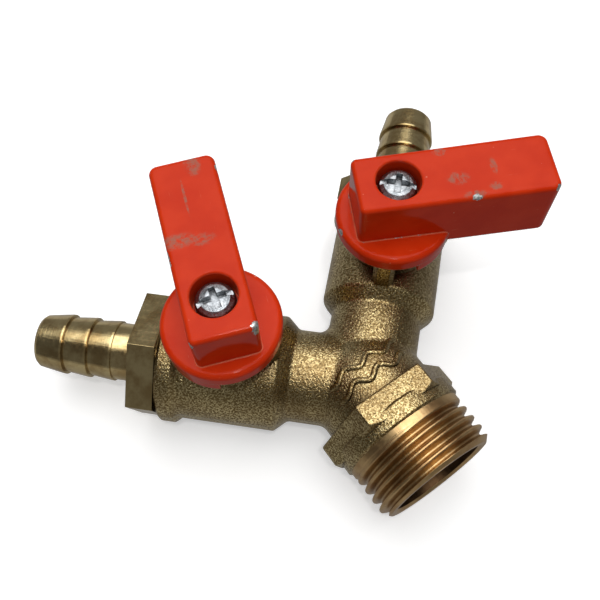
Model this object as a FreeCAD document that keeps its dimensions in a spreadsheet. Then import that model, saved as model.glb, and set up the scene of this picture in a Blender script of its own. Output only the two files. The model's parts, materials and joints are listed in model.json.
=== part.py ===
import FreeCAD, Part
import math
import os

import Sketcher
from FreeCAD import Placement, Rotation, Vector

# Three way hose valve: a forged brass Y with a male G 1/2 inlet and two outlets.
# Each outlet holds a quarter turn ball valve and a screwed in hose tail.
# Millimetres. +Z is up, along both stems; the inlet points along -Y, and the origin
# is the centre of the inlet's end face.

doc = FreeCAD.newDocument("ThreeWayValve")
sheet = doc.addObject("Spreadsheet::Sheet", "Dims")

DIMENSIONS = {
    # inlet
    "junction": 19.1,  # end face to the point where the three pipe axes meet
    "inlet_thread_r": 10.478,  # G 1/2 major radius
    "inlet_pitch": 1.814,
    "inlet_groove": 1.1,  # depth of the thread form
    "inlet_rim_r": 9.45,
    "inlet_bore_r": 8.1,
    "inlet_bore_deep": 12.5,
    "first_groove": 1.15,  # end face to the middle of the first thread groove
    "groove_mouth": 1.524,  # width of a thread groove at the crests
    "groove_root": 0.327,
    "thread_lead": 0.95,  # length of the cone at the inlet's end
    "thread_shank": 8.8,  # end face to the forged boss
    "boss_r": 10.9,
    "boss_end": 11.9,
    "boss_break": 0.3,
    "boss_to_dome": 0.6,
    "inlet_lip": 0.4,
    "throat_start": 17.1,
    "throat_r": 4.9,
    "throat_end": 20.6,
    "drill_point": 22.1,
    "hex_flats": 20.9,
    "hex_from": 10.5,
    "hex_to": 14.8,
    "bevel_start": 10.3,
    "bevel_end": 11.4,
    "bevel_rise": 1.4,
    "dome_r": 9.6,
    "dome_centre": 17.9,
    "junction_blend": 2.2,
    "neck_blend": 1.0,
    "chamber_round": 0.7,
    "collar_round": 0.35,
    "forging_round": 0.4,
    # branches, measured from the junction along each branch
    "branch_angle": 46.0,  # from +Y
    "neck_r": 7.68,
    "neck_end": 12.0,
    "chamber_start": 14.1,
    "chamber_r": 9.6,
    "collar_start": 29.6,
    "collar_full": 30.6,
    "collar_r": 10.5,
    "collar_lip": 32.7,
    "body_end": 33.12,
    "body_end_r": 10.1,
    "mouth_chamfer": 0.5,
    "overrun": 1.0,  # how far a cutting outline runs past the surface
    # valve
    "stem_station": 22.3,
    "ball_r": 6.4,
    "port_r": 3.5,
    "cavity_r": 7.0,
    "seat_back": 6.5,
    "seat_front": 4.3,
    "seat_r": 6.95,
    "tail_thread_r": 7.95,
    "slot_width": 2.6,
    "slot_floor": 4.3,
    "tang_width": 2.5,
    "tang_foot": 4.5,
    "tang_r": 3.8,
    "flange_foot": 7.15,
    "flange_top": 8.2,
    "flange_r": 4.5,
    "washer_top": 8.9,
    "counterbore_top": 8.95,
    "counterbore_r": 4.7,
    "stem_r": 3.5,
    "running_gap": 0.05,
    "stem_bore_r": 3.55,
    "stem_chamfer": 0.4,
    "ring_groove_low": 10.4,
    "ring_groove_top": 11.9,
    "ring_groove_r": 2.35,
    "ring_section_r": 0.58,
    "ring_gap": 0.02,
    "stem_boss_r": 6.0,
    "stem_boss_top": 13.9,
    "shoulder_top": 14.3,
    "stem_top": 23.2,
    "square_width": 5.0,
    "lug_inner": 6.8,
    "lug_outer": 8.4,
    "lug_width": 3.4,
    "lug_top": 16.1,
    "lug_corner": 0.7,
    # lever
    "disc_r": 9.1,
    "disc_foot": 16.5,
    "disc_top": 19.1,
    "disc_round": 0.9,
    "hub_r": 5.2,
    "rib_foot": 14.6,
    "rib_inner": 6.8,
    "rib_outer": 9.0,
    "rib_clearance": 1.5,  # degrees between the rib's ends and the lug at each stop
    "bar_top": 27.5,
    "bar_near": 6.45,
    "bar_far": 23.4,
    "bar_half": 4.88,
    "bar_taper": 0.006,
    "bar_round": 0.7,
    "near_round": 0.9,
    "far_round": 1.4,
    "bar_wall": 1.7,
    "core_from": 10.6,
    "core_top": 25.2,
    "recess_r": 3.4,
    "recess_floor": 23.6,
    "recess_round": 0.3,
    # screw
    "screw_r": 1.5,
    "screw_foot": 14.3,
    "head_r": 2.95,
    "head_foot": 24.4,
    "head_top": 26.8,
    "head_side": 25.5,
    "head_shoulder": 26.1,
    "head_shoulder_in": 0.25,
    "head_crown": 26.55,
    "head_crown_in": 0.8,
    "head_flat_r": 1.35,
    "screw_chamfer": 0.4,
    "tap_gap": 0.02,
    "slot_long": 7.0,
    "screw_slot": 0.8,
    "screw_slot_deep": 0.75,
    "cross_long": 3.4,
    "cross_width": 0.95,
    "cross_deep": 1.3,
    "lock_washer_r": 3.0,
    "lock_washer_bore_r": 1.6,
    "lock_washer_split": 0.5,
    # hose tail
    "tail_foot": 28.8,
    "tail_chamfer": 0.5,
    "face_r": 9.1,
    "nut_from": 33.37,
    "nut_to": 37.75,
    "nut_flats": 19.0,
    "nut_break": 0.2,
    "nut_core_r": 4.05,
    "tail_bore_r": 3.25,
    "stub_r": 4.85,
    "stub_fillet": 0.35,
    "valley_r": 4.68,
    "ridge_r": 5.1,
    "ridge_pitch": 4.2,
    "ridge_land": 0.35,
    "first_ridge": 42.1,
    "tail_end": 55.45,
    "tail_tip_r": 4.45,
    "tip_break": 0.4,
    "tip_lead": 0.5,
    "bore_break": 0.3,
}

for row, (alias, number) in enumerate(DIMENSIONS.items(), start=1):
    sheet.set(f"A{row}", alias)
    sheet.set(f"B{row}", str(number))
    sheet.setAlias(f"B{row}", alias)
doc.recompute()


class Size:
    """A length or angle: its number now, and the sheet expression that drives it."""

    def __init__(self, number, text):
        self.number = number
        self.text = text

    def _with(self, other, sign, result):
        other = size(other)
        return Size(result(self.number, other.number), f"({self.text} {sign} {other.text})")

    def __add__(self, other):
        return self._with(other, "+", lambda a, b: a + b)

    def __sub__(self, other):
        return self._with(other, "-", lambda a, b: a - b)

    def __mul__(self, other):
        return self._with(other, "*", lambda a, b: a * b)

    def __truediv__(self, other):
        return self._with(other, "/", lambda a, b: a / b)

    def __neg__(self):
        return Size(-self.number, f"(0 - {self.text})")


def size(thing):
    """A plain number as a Size."""
    return thing if isinstance(thing, Size) else Size(float(thing), repr(float(thing)))


def dim(alias):
    """The sheet's dimension with this alias."""
    return Size(float(DIMENSIONS[alias]), f"Dims.{alias}")


def bind(target, path, value):
    """Drive one property of an object from the sheet."""
    target.setExpression(path, size(value).text)


# ---- document helpers


def new_body(label):
    body = doc.addObject("PartDesign::Body", label)
    body.Label = label
    return body


def plane(body, role):
    return [f for f in body.Origin.OriginFeatures if f.Role == role][0]


def new_sketch(body, name, role="XY_Plane", offset=None):
    sketch = body.newObject("Sketcher::SketchObject", name)
    sketch.AttachmentSupport = [(plane(body, role), "")]
    sketch.MapMode = "FlatFace"
    if offset is not None:
        sketch.AttachmentOffset = offset
    return sketch


def pin_point(sketch, geometry, end, x, y):
    """Hold one end of a sketch element at x, y from the sketch's origin."""
    for kind, axis, value in (("DistanceX", -2, size(x)), ("DistanceY", -1, size(y))):
        if value.number == 0.0:
            sketch.addConstraint(Sketcher.Constraint("PointOnObject", geometry, end, axis))
            continue
        n = sketch.addConstraint(
            Sketcher.Constraint(kind, -1, 1, geometry, end, value.number)
        )
        bind(sketch, f"Constraints[{n}]", value)


def draw_polygon(sketch, points):
    """A closed outline through points of sizes, every corner driven from the sheet."""
    corners = [Vector(size(x).number, size(y).number, 0) for x, y in points]
    first = sketch.GeometryCount
    count = len(corners)
    for i in range(count):
        sketch.addGeometry(Part.LineSegment(corners[i], corners[(i + 1) % count]))
    for i in range(count):
        following = first + (i + 1) % count
        sketch.addConstraint(Sketcher.Constraint("Coincident", first + i, 2, following, 1))
    for i, (x, y) in enumerate(points):
        pin_point(sketch, first + i, 1, x, y)


def draw_circle(sketch, x, y, radius):
    radius = size(radius)
    centre = Vector(size(x).number, size(y).number, 0)
    g = sketch.addGeometry(Part.Circle(centre, Vector(0, 0, 1), radius.number))
    pin_point(sketch, g, 3, x, y)
    n = sketch.addConstraint(Sketcher.Constraint("Radius", g, radius.number))
    bind(sketch, f"Constraints[{n}]", radius)


def hexagon(across_flats, turn_degrees):
    """Corners of a hexagon, the first at turn_degrees from the sketch's x axis."""
    corner = size(across_flats) / math.sqrt(3)
    angles = [math.radians(turn_degrees + 60 * k) for k in range(6)]
    return [(corner * math.cos(a), corner * math.sin(a)) for a in angles]


def rectangle(x_low, x_high, y_low, y_high):
    return [(x_low, y_low), (x_high, y_low), (x_high, y_high), (x_low, y_high)]


def rotation_about(body, kind, name, sketch, axis):
    feature = body.newObject(f"PartDesign::{kind}", name)
    feature.Profile = sketch
    feature.ReferenceAxis = (sketch, [axis])
    feature.Angle = 360
    doc.recompute()
    return feature


def extrusion(body, kind, name, sketch, length, reverse=False):
    feature = body.newObject(f"PartDesign::{kind}", name)
    feature.Profile = sketch
    feature.Reversed = reverse
    bind(feature, "Length", length)
    doc.recompute()
    return feature


def cut_along(body, name, sketch, length, toward):
    """Pocket a sketch up (+1) or down (-1), and prove that it removed material."""
    before = body.Shape.Volume
    pocket = extrusion(body, "Pocket", name, sketch, length, toward > 0)
    if before - body.Shape.Volume < 1e-6:
        raise RuntimeError(f"{name} on {body.Label} cuts nothing")
    return pocket


def groove_around(body, name, sketch, axis):
    before = body.Shape.Volume
    groove = rotation_about(body, "Groove", name, sketch, axis)
    if before - body.Shape.Volume < 1e-6:
        raise RuntimeError(f"{name} on {body.Label} cuts nothing")
    return groove


def round_edges(body, name, chosen, radius):
    """Fillet the edges of the body's tip that the test picks."""
    tip = body.Tip
    names = [f"Edge{i}" for i, e in enumerate(tip.Shape.Edges, start=1) if chosen(e)]
    if not names:
        raise RuntimeError(f"{name} on {body.Label} finds no edge")
    fillet = body.newObject("PartDesign::Fillet", name)
    fillet.Base = (tip, names)
    bind(fillet, "Radius", radius)
    doc.recompute()
    if "Invalid" in fillet.State:
        raise RuntimeError(f"{name} on {body.Label} does not round")
    return fillet


def primitive(kind, name, **sizes):
    """A Part primitive with its sizes driven from the sheet."""
    made = doc.addObject(f"Part::{kind}", name)
    for key, value in sizes.items():
        bind(made, key, value)
    return made


def cut(label, base, tools):
    """base less every tool, as a chain of Part cuts; the last one gets the label."""
    result = base
    for i, tool in enumerate(tools):
        step = doc.addObject("Part::Cut", f"{label}_cut{i + 1}")
        step.Base = result
        step.Tool = tool
        result = step
    result.Label = label
    return result


def at_height(z):
    return Placement(Vector(0, 0, size(z).number), Rotation())


def lift(made, z):
    """Hold a primitive's height to the sheet."""
    bind(made, "Placement.Base.z", z)


# ---- where things lie

ANGLE = DIMENSIONS["branch_angle"]
JUNCTION = Vector(0, DIMENSIONS["junction"], 0)
UP = Vector(0, 0, 1)

# name suffix, direction of the branch from +X, how far its lever stands closed of open
VALVES = (
    ("left", 90.0 + ANGLE, 65.8),
    ("right", 90.0 - ANGLE, 71.1),
)

# angles to which loose pieces happen to be tightened: each screw's slot from its lever,
# and the hose tails' first hexagon corner from the horizontal
SCREW_TURN = {"left": -82.6, "right": -18.5}
NUT_TURN = 17.0


def branch_frame(heading):
    """At the junction, +X along the branch and +Z up."""
    return Placement(JUNCTION, Rotation(UP, heading))


def stem_frame(heading, lag=0.0):
    """At the foot of the stem's axis, +X along the lever, which lags the branch."""
    along = Rotation(UP, heading).multVec(Vector(DIMENSIONS["stem_station"], 0, 0))
    return Placement(JUNCTION + along, Rotation(UP, heading - lag))


# ---- forged body


def inlet_profile(body):
    """Half section of the inlet: threaded shank, boss, and the dome over the junction."""
    sketch = new_sketch(body, "InletProfile")
    rim = dim("inlet_rim_r")
    shank = dim("inlet_thread_r")
    dome = dim("dome_r")
    corners = [
        (0, 0),
        (rim, 0),
        (shank, dim("thread_lead")),
        (shank, dim("thread_shank")),
        (dim("boss_r"), dim("thread_shank") + dim("boss_break")),
        (dim("boss_r"), dim("boss_end") - dim("boss_break")),
        (dim("boss_r") - dim("boss_break"), dim("boss_end")),
        (dome, dim("boss_end") + dim("boss_to_dome")),
        (dome, dim("dome_centre")),
    ]
    spots = [Vector(size(x).number, size(y).number, 0) for x, y in corners]
    for a, b in zip(spots, spots[1:]):
        sketch.addGeometry(Part.LineSegment(a, b))
    for i, (x, y) in enumerate(corners[:-1]):
        pin_point(sketch, i, 1, x, y)
    last = len(corners) - 2
    pin_point(sketch, last, 2, *corners[-1])
    for i in range(last):
        sketch.addConstraint(Sketcher.Constraint("Coincident", i, 2, i + 1, 1))
    centre = Vector(0, dim("dome_centre").number, 0)
    circle = Part.Circle(centre, UP, dome.number)
    arc = sketch.addGeometry(Part.ArcOfCircle(circle, 0.0, math.pi / 2))
    sketch.addConstraint(Sketcher.Constraint("Coincident", last, 2, arc, 1))
    pin_point(sketch, arc, 3, 0, dim("dome_centre"))
    sketch.addConstraint(Sketcher.Constraint("PointOnObject", arc, 2, -2))
    tip = Vector(0, centre.y + dome.number, 0)
    close = sketch.addGeometry(Part.LineSegment(tip, Vector(0, 0, 0)))
    sketch.addConstraint(Sketcher.Constraint("Coincident", arc, 2, close, 1))
    sketch.addConstraint(Sketcher.Constraint("Coincident", close, 2, 0, 1))
    return sketch


def branch_outline():
    return [
        (0, 0),
        (0, dim("neck_r")),
        (dim("neck_end"), dim("neck_r")),
        (dim("chamber_start"), dim("chamber_r")),
        (dim("collar_start"), dim("chamber_r")),
        (dim("collar_full"), dim("collar_r")),
        (dim("collar_lip"), dim("collar_r")),
        (dim("body_end"), dim("body_end_r")),
        (dim("body_end"), 0),
    ]


def branch_bore():
    """Passage, ball cavity and the tapped mouth for the hose tail."""
    seat_floor = dim("stem_station") - dim("seat_back")
    return [
        (0, 0),
        (0, dim("port_r")),
        (seat_floor, dim("port_r")),
        (seat_floor, dim("cavity_r")),
        (dim("tail_foot"), dim("cavity_r")),
        (dim("tail_foot"), dim("tail_thread_r")),
        (dim("body_end") - dim("mouth_chamfer"), dim("tail_thread_r")),
        (dim("body_end"), dim("tail_thread_r") + dim("mouth_chamfer")),
        (dim("body_end") + dim("overrun"), dim("tail_thread_r") + dim("mouth_chamfer")),
        (dim("body_end") + dim("overrun"), 0),
    ]


def circle_at(*stations):
    """Picks the branches' circular edges whose centres lie so far from the junction."""

    def test(edge):
        if edge.Curve.TypeId != "Part::GeomCircle":
            return False
        reach = (edge.Curve.Center - JUNCTION).Length
        return any(abs(reach - DIMENSIONS[s]) < 0.01 for s in stations)

    return test


def where_pipes_meet(edge):
    kinds = ("Part::GeomBSplineCurve", "Part::GeomEllipse")
    return edge.Curve.TypeId in kinds and edge.BoundBox.YMax < DIMENSIONS["junction"] * 2


def lug_outline():
    """The stop lug in plan: a block with its outer corners cut off."""
    half = dim("lug_width") / 2
    corner = dim("lug_corner")
    return [
        (-dim("lug_inner"), -half),
        (-dim("lug_inner"), half),
        (-dim("lug_outer") + corner, half),
        (-dim("lug_outer"), half - corner),
        (-dim("lug_outer"), -half + corner),
        (-dim("lug_outer") + corner, -half),
    ]


def build_forged_body():
    body = new_body("forged_body")
    rotation_about(body, "Revolution", "Inlet", inlet_profile(body), "V_Axis")
    for side, heading, _ in VALVES:
        outline = new_sketch(body, f"BranchOutline_{side}", "XY_Plane", branch_frame(heading))
        draw_polygon(outline, branch_outline())
        rotation_about(body, "Revolution", f"Branch_{side}", outline, "H_Axis")
    round_edges(body, "JunctionBlend", where_pipes_meet, dim("junction_blend"))
    round_edges(body, "NeckBlend", circle_at("neck_end"), dim("neck_blend"))
    round_edges(body, "ChamberRound", circle_at("chamber_start"), dim("chamber_round"))
    round_edges(body, "CollarRound", circle_at("collar_full", "collar_lip"), dim("collar_round"))

    hexagon_base = Placement(Vector(0, 0, -dim("hex_from").number), Rotation())
    spanner = new_sketch(body, "HexOutline", "XZ_Plane", hexagon_base)
    draw_polygon(spanner, hexagon(dim("hex_flats"), 0))
    extrusion(body, "Pad", "Hex", spanner, dim("hex_to") - dim("hex_from"), True)

    def hex_corner(edge):
        box = edge.BoundBox
        across = math.hypot(box.Center.x, box.Center.z)
        long = box.YLength > 2.5 and box.XLength + box.ZLength < 0.1
        return long and across > DIMENSIONS["hex_flats"] / 2 + 0.8

    round_edges(body, "HexCorners", hex_corner, dim("forging_round"))

    def hex_back(edge):
        at_back = all(abs(v.Y - DIMENSIONS["hex_to"]) < 0.01 for v in edge.Vertexes)
        middle = edge.valueAt((edge.FirstParameter + edge.LastParameter) / 2)
        return at_back and math.hypot(middle.x, middle.z) > DIMENSIONS["dome_r"] + 0.3

    round_edges(body, "HexBack", hex_back, dim("forging_round"))
    bevel = new_sketch(body, "HexBevel")
    draw_polygon(
        bevel,
        [
            (dim("boss_r"), dim("bevel_start") - dim("overrun")),
            (dim("boss_r"), dim("bevel_start")),
            (dim("boss_r") + dim("bevel_rise"), dim("bevel_end")),
            (dim("boss_r") + dim("bevel_rise"), dim("bevel_start") - dim("overrun")),
        ],
    )
    groove_around(body, "HexBevelCut", bevel, "V_Axis")

    for side, heading, _ in VALVES:
        base = stem_frame(heading)
        ring = new_sketch(body, f"StemBossOutline_{side}", "XY_Plane", base)
        draw_circle(ring, 0, 0, dim("stem_boss_r"))
        extrusion(body, "Pad", f"StemBoss_{side}", ring, dim("stem_boss_top"))
        lug = new_sketch(body, f"StopLugOutline_{side}", "XY_Plane", base)
        draw_polygon(lug, lug_outline())
        extrusion(body, "Pad", f"StopLug_{side}", lug, dim("lug_top"))
    return body


def finish_forged_body(body):
    # thread: evenly spaced grooves of the true depth and pitch, with flat crests
    form = new_sketch(body, "ThreadForm")
    middle = dim("first_groove")
    half_mouth = dim("groove_mouth") / 2
    half_root = dim("groove_root") / 2
    root = dim("inlet_thread_r") - dim("inlet_groove")
    # the outline runs on past the crests at the flanks' own slope
    beyond = dim("overrun") / 2
    spread = beyond * (half_mouth - half_root) / dim("inlet_groove")
    draw_polygon(
        form,
        [
            (dim("inlet_thread_r") + beyond, middle + half_mouth + spread),
            (root, middle + half_root),
            (root, middle - half_root),
            (dim("inlet_thread_r") + beyond, middle - half_mouth - spread),
        ],
    )
    groove = groove_around(body, "ThreadGroove", form, "V_Axis")
    pattern = body.newObject("PartDesign::LinearPattern", "Thread")
    pattern.Originals = [groove]
    pattern.Direction = (form, ["V_Axis"])
    bind(pattern, "Length", dim("inlet_pitch") * 3)
    pattern.Occurrences = 4
    body.Tip = pattern
    doc.recompute()

    bore = new_sketch(body, "InletBore")
    draw_polygon(
        bore,
        [
            (0, -dim("overrun")),
            (dim("inlet_bore_r") + dim("inlet_lip"), -dim("overrun")),
            (dim("inlet_bore_r") + dim("inlet_lip"), 0),
            (dim("inlet_bore_r"), dim("inlet_lip")),
            (dim("inlet_bore_r"), dim("inlet_bore_deep")),
            (dim("throat_r"), dim("throat_start")),
            (dim("port_r"), dim("throat_end")),
            (0, dim("drill_point")),
        ],
    )
    groove_around(body, "InletBoreCut", bore, "V_Axis")

    for side, heading, _ in VALVES:
        bore = new_sketch(body, f"BranchBore_{side}", "XY_Plane", branch_frame(heading))
        draw_polygon(bore, branch_bore())
        groove_around(body, f"BranchBoreCut_{side}", bore, "H_Axis")
        base = stem_frame(heading)
        gland = new_sketch(body, f"GlandOutline_{side}", "XY_Plane", base)
        draw_circle(gland, 0, 0, dim("counterbore_r"))
        cut_along(body, f"Gland_{side}", gland, dim("counterbore_top"), 1)
        guide = new_sketch(body, f"StemBoreOutline_{side}", "XY_Plane", base)
        draw_circle(guide, 0, 0, dim("stem_bore_r"))
        cut_along(body, f"StemBore_{side}", guide, dim("stem_boss_top") + dim("overrun"), 1)
    return body


forged = build_forged_body()
finish_forged_body(forged)


# ---- hose tail, screwed into each outlet

RIDGES = 3


def tail_profile():
    """Half section of the hose tail, from its threaded foot to the tip."""
    thread = dim("tail_thread_r") - dim("running_gap")
    points = [
        (dim("tail_foot"), dim("tail_bore_r")),
        (dim("tail_foot"), thread - dim("tail_chamfer")),
        (dim("tail_foot") + dim("tail_chamfer"), thread),
        (dim("body_end"), thread),
        (dim("body_end"), dim("face_r")),
        (dim("nut_to") - dim("nut_break"), dim("face_r")),
        (dim("nut_to"), dim("face_r") - dim("nut_break")),
        (dim("nut_to"), dim("stub_r") + dim("stub_fillet")),
        (dim("nut_to") + dim("stub_fillet"), dim("stub_r")),
        (dim("first_ridge"), dim("stub_r")),
        (dim("first_ridge"), dim("ridge_r")),
    ]
    for k in range(RIDGES):
        crest = dim("first_ridge") + dim("ridge_pitch") * k
        points.append((crest + dim("ridge_land"), dim("ridge_r")))
        if k < RIDGES - 1:
            points.append((crest + dim("ridge_pitch"), dim("valley_r")))
            points.append((crest + dim("ridge_pitch"), dim("ridge_r")))
    points += [
        (dim("tail_end") - dim("tip_lead"), dim("tail_tip_r")),
        (dim("tail_end"), dim("tail_tip_r") - dim("tip_break")),
        (dim("tail_end"), dim("tail_bore_r") + dim("bore_break")),
        (dim("tail_end") - dim("bore_break"), dim("tail_bore_r")),
    ]
    return points


def build_hose_tail(side, heading):
    body = new_body(f"hose_tail_{side}")
    section = new_sketch(body, "Section")
    draw_polygon(section, tail_profile())
    rotation_about(body, "Revolution", "Turned", section, "H_Axis")
    # the hexagon: its sketch lies across the branch, and its corners are turned
    base = Placement(Vector(0, 0, dim("nut_from").number), Rotation())
    nut = new_sketch(body, "NutOutline", "YZ_Plane", base)
    bind(nut, "AttachmentOffset.Base.z", dim("nut_from"))
    draw_polygon(nut, hexagon(dim("nut_flats"), NUT_TURN))
    draw_circle(nut, 0, 0, dim("nut_core_r"))
    extrusion(body, "Pad", "Nut", nut, dim("nut_to") - dim("nut_from"))
    body.Placement = branch_frame(heading)
    return body


# ---- ball valve insides


def build_ball(side, heading, lag):
    ball = primitive("Sphere", f"BallBlank_{side}", Radius=dim("ball_r"))
    port = primitive(
        "Cylinder", f"Port_{side}", Radius=dim("port_r"), Height=dim("ball_r") * 4
    )
    start = Vector(-2 * DIMENSIONS["ball_r"], 0, 0)
    port.Placement = Placement(start, Rotation(Vector(0, 1, 0), 90))
    slot = primitive(
        "Box",
        f"Slot_{side}",
        Length=dim("slot_width"),
        Width=dim("ball_r") * 4,
        Height=dim("ball_r"),
    )
    bind(slot, "Placement.Base.x", -(dim("slot_width") / 2))
    bind(slot, "Placement.Base.y", -(dim("ball_r") * 2))
    lift(slot, dim("slot_floor"))
    made = cut(f"ball_{side}", ball, [port, slot])
    made.Placement = stem_frame(heading, lag)
    return made


def build_seat(side, heading, name, way):
    """A dished ring; way is -1 for the seat toward the junction, 1 for the other."""
    thick = dim("seat_back") - dim("seat_front")
    ring = primitive("Cylinder", f"Ring_{name}_{side}", Radius=dim("seat_r"), Height=thick)
    hole = primitive("Cylinder", f"Hole_{name}_{side}", Radius=dim("port_r"), Height=thick * 3)
    lift(hole, -thick)
    dish = primitive("Sphere", f"Dish_{name}_{side}", Radius=dim("ball_r") + dim("running_gap"))
    lift(dish, -dim("seat_front"))
    made = cut(f"{name}_{side}", ring, [hole, dish])
    face = Placement(Vector(way * DIMENSIONS["seat_front"], 0, 0), Rotation(Vector(0, way, 0), 90))
    made.Placement = stem_frame(heading).multiply(face)
    return made


def build_stem(side, heading, lag):
    body = new_body(f"stem_{side}")
    section = new_sketch(body, "Section", "XZ_Plane")
    draw_polygon(
        section,
        [
            (0, dim("tang_foot")),
            (dim("tang_r"), dim("tang_foot")),
            (dim("tang_r"), dim("flange_foot")),
            (dim("flange_r"), dim("flange_foot")),
            (dim("flange_r"), dim("flange_top")),
            (dim("stem_r"), dim("flange_top")),
            (dim("stem_r"), dim("ring_groove_low")),
            (dim("ring_groove_r"), dim("ring_groove_low")),
            (dim("ring_groove_r"), dim("ring_groove_top")),
            (dim("stem_r"), dim("ring_groove_top")),
            (dim("stem_r"), dim("stem_top") - dim("stem_chamfer")),
            (dim("stem_r") - dim("stem_chamfer"), dim("stem_top")),
            (0, dim("stem_top")),
        ],
    )
    rotation_about(body, "Revolution", "Turned", section, "V_Axis")
    for name, half, low, high in (
        ("Tang", dim("tang_width") / 2, dim("tang_foot"), dim("flange_foot")),
        ("Flat", dim("square_width") / 2, dim("shoulder_top"), dim("stem_top")),
    ):
        base = Placement(Vector(0, 0, low.number), Rotation())
        flats = new_sketch(body, f"{name}Outline", "XY_Plane", base)
        bind(flats, "AttachmentOffset.Base.z", low)
        far = dim("flange_r") + dim("overrun")
        draw_polygon(flats, rectangle(half, far, -far, far))
        draw_polygon(flats, rectangle(-far, -half, -far, far))
        if name == "Flat":
            draw_polygon(flats, rectangle(-half, half, half, far))
            draw_polygon(flats, rectangle(-half, half, -far, -half))
        cut_along(body, f"{name}s", flats, high - low, 1)
    tap_base = Placement(Vector(0, 0, dim("stem_top").number), Rotation())
    tapped = new_sketch(body, "TapOutline", "XY_Plane", tap_base)
    bind(tapped, "AttachmentOffset.Base.z", dim("stem_top"))
    draw_circle(tapped, 0, 0, dim("screw_r") + dim("tap_gap"))
    tap_deep = dim("stem_top") - dim("screw_foot") + dim("overrun")
    cut_along(body, "Tapped", tapped, tap_deep, -1)
    body.Placement = stem_frame(heading, lag)
    return body


def build_ring(label, outer, inner, low, high, place, split=None):
    """A flat washer about the stem; a split one has a slit of the given width."""
    blank = primitive("Cylinder", f"{label}_blank", Radius=outer, Height=high - low)
    lift(blank, low)
    hole = primitive("Cylinder", f"{label}_hole", Radius=inner, Height=(high - low) * 3)
    lift(hole, low - (high - low))
    tools = [hole]
    if split is not None:
        slit = primitive(
            "Box", f"{label}_slit", Length=outer * 2, Width=split, Height=(high - low) * 3
        )
        bind(slit, "Placement.Base.y", -(size(split) / 2))
        lift(slit, low - (high - low))
        tools.append(slit)
    made = cut(label, blank, tools)
    made.Placement = place
    return made


def build_stem_ring(side, heading, lag):
    """The stem's rubber O-ring, in the middle of its groove."""
    made = primitive(
        "Torus",
        f"stem_o_ring_{side}",
        Radius1=dim("stem_bore_r") - dim("ring_section_r") - dim("ring_gap"),
        Radius2=dim("ring_section_r"),
    )
    made.Label = f"stem_o_ring_{side}"
    place = stem_frame(heading, lag)
    middle = (DIMENSIONS["ring_groove_low"] + DIMENSIONS["ring_groove_top"]) / 2
    made.Placement = place.multiply(at_height(middle))
    return made


# ---- lever, screw


def rib_opening():
    """The sector of the stop rib that the lug sweeps in a quarter turn."""
    lug_half = math.degrees(
        math.asin(DIMENSIONS["lug_width"] / 2 / DIMENSIONS["rib_inner"])
    )
    first = 180.0 - lug_half - DIMENSIONS["rib_clearance"]
    last = 270.0 + lug_half + DIMENSIONS["rib_clearance"]
    steps = 6
    angles = [math.radians(first + (last - first) * k / steps) for k in range(steps + 1)]
    inside = (dim("hub_r") + dim("rib_inner")) / 2
    outside = dim("disc_r") + dim("overrun")
    inner = [(inside * math.cos(a), inside * math.sin(a)) for a in angles]
    outer = [(outside * math.cos(a), outside * math.sin(a)) for a in reversed(angles)]
    return inner + outer


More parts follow.
